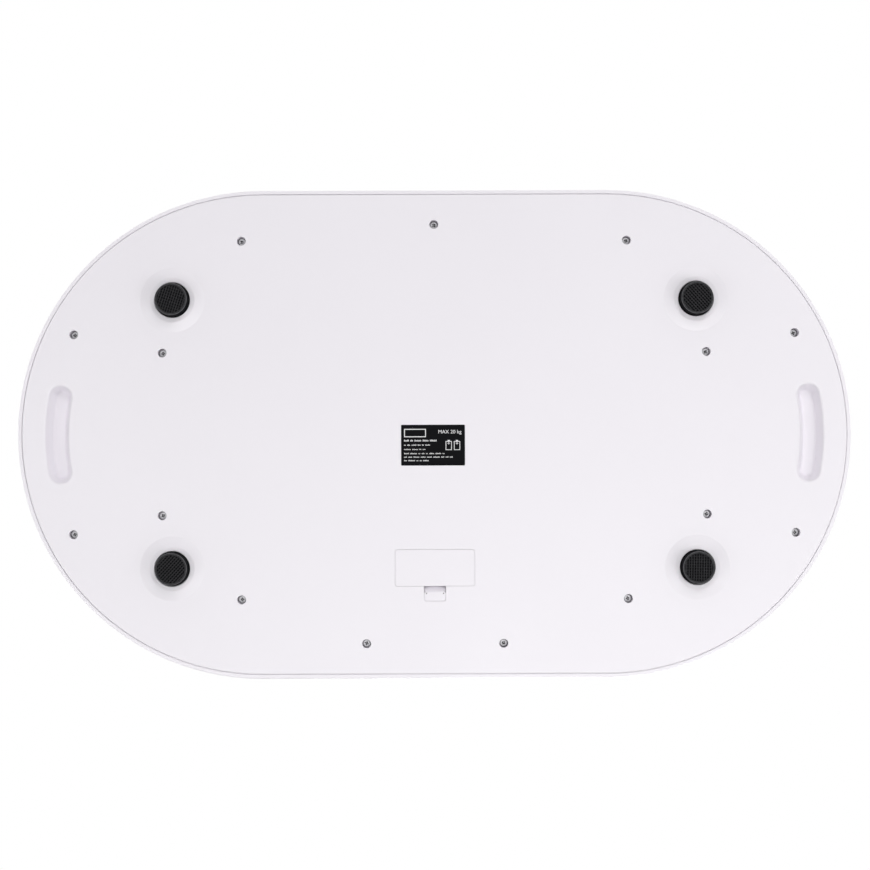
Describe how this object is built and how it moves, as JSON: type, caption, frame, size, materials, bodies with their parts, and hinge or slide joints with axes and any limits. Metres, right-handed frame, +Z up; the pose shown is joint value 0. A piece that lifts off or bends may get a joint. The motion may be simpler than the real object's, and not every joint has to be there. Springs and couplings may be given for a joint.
{
  "type": "digital baby weighing scale",
  "caption": "Digital baby weighing scale: stadium-shaped white tray with raised ends, rubber load-cell feet, front display with keys and a battery door underneath.",
  "frame": {"origin": "centre of the footprint on the surface the feet stand on", "axes": "+Z up; X along the length of the tray; -Y towards the user, where the display, keys and battery door are"},
  "size_m": [0.545, 0.3204, 0.0514],
  "materials": {
    "shell_plastic": "satin",
    "key_plastic": "satin",
    "screw_steel": "satin",
    "label_foil": "satin",
    "window_plastic": "gloss",
    "lcd_glass": "gloss",
    "light_guide": "matte",
    "frame_plastic": "matte",
    "circuit_board": "satin",
    "black_plastic": "matte",
    "battery_can": "satin",
    "nickel_plate": "satin",
    "cell_steel": "satin",
    "foot_rubber": "matte",
    "cable_grey": "matte",
    "lead_red": "matte",
    "lead_black": "matte"
  },
  "bodies": {
    "housing": {"top_cover": "shell_plastic", "bottom_cover": "shell_plastic", "housing_screws": "screw_steel", "pcb_screws": "screw_steel", "load_cell_screws": "screw_steel", "rating_label": "label_foil", "display_window": "window_plastic", "lcd_glass": "lcd_glass", "lcd_backlight": "light_guide", "lcd_frame": "frame_plastic", "load_cell_bracket_front_left": "frame_plastic", "load_cell_bracket_front_right": "frame_plastic", "load_cell_bracket_rear_left": "frame_plastic", "load_cell_bracket_rear_right": "frame_plastic", "foot_post_front_left": "frame_plastic", "foot_post_front_right": "frame_plastic", "foot_post_rear_left": "frame_plastic", "foot_post_rear_right": "frame_plastic", "pcb_plugs": "frame_plastic", "main_pcb": "circuit_board", "controller_chip": "black_plastic", "tact_switch_unit": "black_plastic", "tact_switch_hold": "black_plastic", "tact_switch_tare": "black_plastic", "tact_switch_power": "black_plastic", "battery_rear": "battery_can", "battery_front": "battery_can", "battery_contact_link": "nickel_plate", "battery_contact_positive": "nickel_plate", "battery_contact_negative": "nickel_plate", "load_cell_front_left": "cell_steel", "load_cell_front_right": "cell_steel", "load_cell_rear_left": "cell_steel", "load_cell_rear_right": "cell_steel", "foot_pad_front_left": "foot_rubber", "foot_pad_front_right": "foot_rubber", "foot_pad_rear_left": "foot_rubber", "foot_pad_rear_right": "foot_rubber", "load_cell_cable_front_left": "cable_grey", "load_cell_cable_front_right": "cable_grey", "load_cell_cable_rear_left": "cable_grey", "load_cell_cable_rear_right": "cable_grey", "battery_lead_positive": "lead_red", "battery_lead_negative": "lead_black"},
    "key_unit": {"key_unit": "key_plastic", "switch_plunger_unit": "black_plastic"},
    "key_hold": {"key_hold": "key_plastic", "switch_plunger_hold": "black_plastic"},
    "key_tare": {"key_tare": "key_plastic", "switch_plunger_tare": "black_plastic"},
    "key_power": {"key_power": "key_plastic", "switch_plunger_power": "black_plastic"},
    "battery_door": {"battery_door": "shell_plastic"},
    "battery_door_latch": {"battery_door_latch": "shell_plastic"}
  },
  "joints": [
    {"name": "key_unit_press", "type": "slide", "parent": "housing", "child": "key_unit", "axis": [0, 0, -1], "range_m": [0, 0.0005], "stiffness_N_per_m": 1500, "springref_m": -0.0003},
    {"name": "key_hold_press", "type": "slide", "parent": "housing", "child": "key_hold", "axis": [0, 0, -1], "range_m": [0, 0.0005], "stiffness_N_per_m": 1500, "springref_m": -0.0003},
    {"name": "key_tare_press", "type": "slide", "parent": "housing", "child": "key_tare", "axis": [0, 0, -1], "range_m": [0, 0.0005], "stiffness_N_per_m": 1500, "springref_m": -0.0003},
    {"name": "key_power_press", "type": "slide", "parent": "housing", "child": "key_power", "axis": [0, 0, -1], "range_m": [0, 0.0005], "stiffness_N_per_m": 1500, "springref_m": -0.0003},
    {"name": "battery_door_hinge", "type": "hinge", "parent": "housing", "child": "battery_door", "pos_m": [0, -0.07545, 0.01], "axis": [1, 0, 0], "range_deg": [0, 55]},
    {"name": "battery_door_latch_flex", "type": "hinge", "parent": "battery_door", "child": "battery_door_latch", "pos_m": [0, -0.1078, 0.0146], "axis": [1, 0, 0], "range_deg": [0, 9], "stiffness_Nm_per_rad": 0.02}
  ]
}
